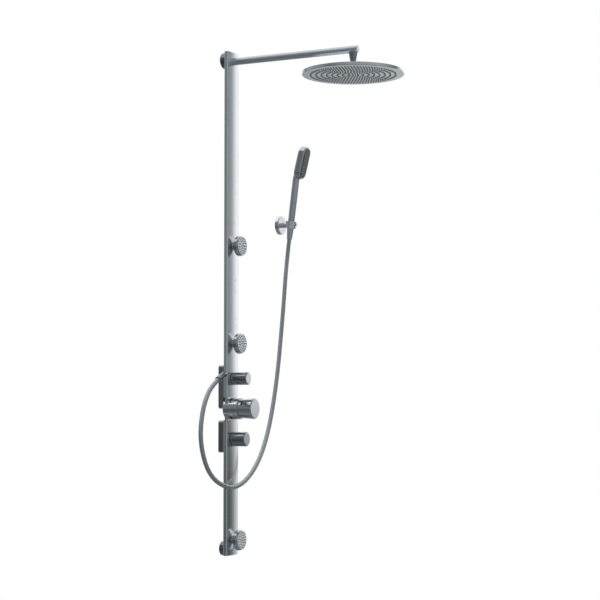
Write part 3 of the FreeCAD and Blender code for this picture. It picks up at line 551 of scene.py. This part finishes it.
# The studio: a pale floor well below the column, and a shell of light around it that
# only reflections and light see, bright above and to the right, softer in front and
# behind, dark to the left and below.  The camera sees white behind the column.
floor_height = -0.95
floor_size = 4.8
floor_colour = (0.8, 0.8, 0.8)
floor_roughness = 0.9
floor_glow = 1.07
floor_glow_share = 0.9
white = (1.0, 1.0, 1.0)
floor_mesh = bmesh.new()
bmesh.ops.create_grid(floor_mesh, x_segments=1, y_segments=1, size=floor_size / 2,
                      matrix=Matrix.Translation((0, 0, floor_height)))
floor = finished("studio_floor", floor_mesh, smooth=False)
floor_paint = bpy.data.materials.new("floor_paint")
floor_paint.use_nodes = True
tree = floor_paint.node_tree
paint = tree.nodes["Principled BSDF"]
paint.inputs["Base Color"].default_value = (*floor_colour, 1.0)
paint.inputs["Roughness"].default_value = floor_roughness
glow = tree.nodes.new("ShaderNodeEmission")
glow.inputs["Color"].default_value = (*white, 1.0)
glow.inputs["Strength"].default_value = floor_glow
path = tree.nodes.new("ShaderNodeLightPath").outputs
seen = sum_node(tree, "MAXIMUM", path["Is Camera Ray"], path["Is Glossy Ray"])
seen = sum_node(tree, "MAXIMUM", seen, path["Is Transmission Ray"])
mixed = tree.nodes.new("ShaderNodeMixShader")
tree.links.new(sum_node(tree, "MULTIPLY", seen, floor_glow_share), mixed.inputs["Fac"])
tree.links.new(paint.outputs["BSDF"], mixed.inputs[1])
tree.links.new(glow.outputs["Emission"], mixed.inputs[2])
tree.links.new(mixed.outputs["Shader"], tree.nodes["Material Output"].inputs["Surface"])
floor.data.materials.append(floor_paint)
floor.visible_glossy = False

shell_radius = 9.0
shell_columns = 48
shell_rows = 24
horizon_edge = (-0.06, 0.03)
ceiling_way = (0.8, 0.3, 1.0)
ceiling_edge = (0.96, 1.1)
back_window_way = (-0.2, 0.5, 1.0)
back_window_edge = (0.98, 1.06)
ceiling_colour = (0.97, 1.0, 1.02)
ground_edge = (-0.45, -0.8)
ground_colour = (0.2, 0.22, 0.23)
shell_mesh = bmesh.new()
bmesh.ops.create_uvsphere(shell_mesh, u_segments=shell_columns, v_segments=shell_rows,
                          radius=shell_radius)
shell = finished("studio_shell", shell_mesh)
shell.visible_camera = False
shell.visible_shadow = False
shell_light = bpy.data.materials.new("shell_light")
shell_light.use_nodes = True
tree = shell_light.node_tree
tree.nodes.remove(tree.nodes["Principled BSDF"])
place = tree.nodes.new("ShaderNodeTexCoord").outputs["Object"]
split = tree.nodes.new("ShaderNodeSeparateXYZ")
tree.links.new(place, split.inputs["Vector"])
forward = sum_node(tree, "MULTIPLY", split.outputs["Y"], -1.0)
bearing = sum_node(tree, "ARCTAN2", split.outputs["X"], forward)
turn = step_node(tree, bearing, -math.pi, math.pi)

# Bearings in degrees from the front, positive to the right, and the light there, first
# below the horizon and then above it.
bearings_low = ((-180, 0.28), (-150, 0.22), (-117, 0.09), (-98, 0.14), (-70, 0.22), (-40, 0.24),
                (-8, 0.3), (16, 0.22), (32, 0.12), (44, 0.08), (51, 0.09), (57, 0.18), (63, 0.36),
                (70, 0.6), (78, 0.86), (88, 1.0), (100, 0.8), (117, 0.38), (150, 0.36),
                (180, 0.28))
bearings_high = ((-180, 0.36), (-150, 0.3), (-117, 0.19), (-98, 0.24), (-70, 0.34), (-40, 0.36),
                 (-8, 0.42), (16, 0.32), (32, 0.22), (41, 0.18), (47, 0.27), (53, 0.42),
                 (58, 0.62), (63, 0.86), (69, 1.04), (80, 1.14), (100, 0.8), (117, 0.4),
                 (150, 0.44), (180, 0.36))


def studio_grey(light):
    """Grey of the studio walls, a little bluer where they are dim."""
    return light * (0.87 + 0.12 * light), light * (0.97 + 0.03 * light), light * 1.02


def light_ring(bearings):
    """Light round the studio by bearing."""
    around = tree.nodes.new("ShaderNodeValToRGB")
    stops = around.color_ramp.elements
    while len(stops) < len(bearings):
        stops.new(0.5)
    for stop, (degrees, light) in zip(stops, bearings):
        stop.position = (degrees + 180) / 360
        stop.color = (*studio_grey(light), 1.0)
    tree.links.new(turn, around.inputs["Fac"])
    return around.outputs["Color"]


def soft_step(value, edge):
    """0 to 1 across an edge that is given in shares of the shell's radius."""
    start, end = edge
    return step_node(tree, value, shell_radius * start, shell_radius * end, "SMOOTHSTEP")


def patch_of_light(way, edge):
    """1 where the shell lies towards the given way and 0 elsewhere."""
    slant = tree.nodes.new("ShaderNodeVectorMath")
    slant.operation = "DOT_PRODUCT"
    slant.inputs[1].default_value = way
    tree.links.new(place, slant.inputs[0])
    return soft_step(slant.outputs["Value"], edge)


walls = mix_node(tree, soft_step(split.outputs["Z"], horizon_edge), light_ring(bearings_low),
                 light_ring(bearings_high))
overhead = sum_node(tree, "MAXIMUM", patch_of_light(ceiling_way, ceiling_edge),
                    patch_of_light(back_window_way, back_window_edge))
with_ceiling = mix_node(tree, overhead, walls, ceiling_colour)
with_ground = mix_node(tree, soft_step(split.outputs["Z"], ground_edge), with_ceiling,
                       ground_colour)
glow = tree.nodes.new("ShaderNodeEmission")
tree.links.new(with_ground, glow.inputs["Color"])
tree.links.new(glow.outputs["Emission"], tree.nodes["Material Output"].inputs["Surface"])
shell.data.materials.append(shell_light)

world = bpy.data.worlds.new("studio_white")
world.use_nodes = True
world.node_tree.nodes["Background"].inputs["Color"].default_value = (*white, 1.0)
world.node_tree.nodes["Background"].inputs["Strength"].default_value = 1.0
bpy.context.scene.world = world

lamp_watts = 60.0
lamp_size = 2.0
lamp_place = Vector((-1.5, -3.0, 3.0))
lamp_way = Vector((1.5, 3.0, -2.7))
lamp_data = bpy.data.lights.new("soft_lamp", "AREA")
lamp_data.energy = lamp_watts
lamp_data.size = lamp_size
lamp = link(bpy.data.objects.new("soft_lamp", lamp_data))
lamp.location = lamp_place
lamp.rotation_euler = lamp_way.to_track_quat("-Z", "Y").to_euler()
lamp.visible_glossy = False

bpy.context.scene.view_settings.view_transform = "Standard"
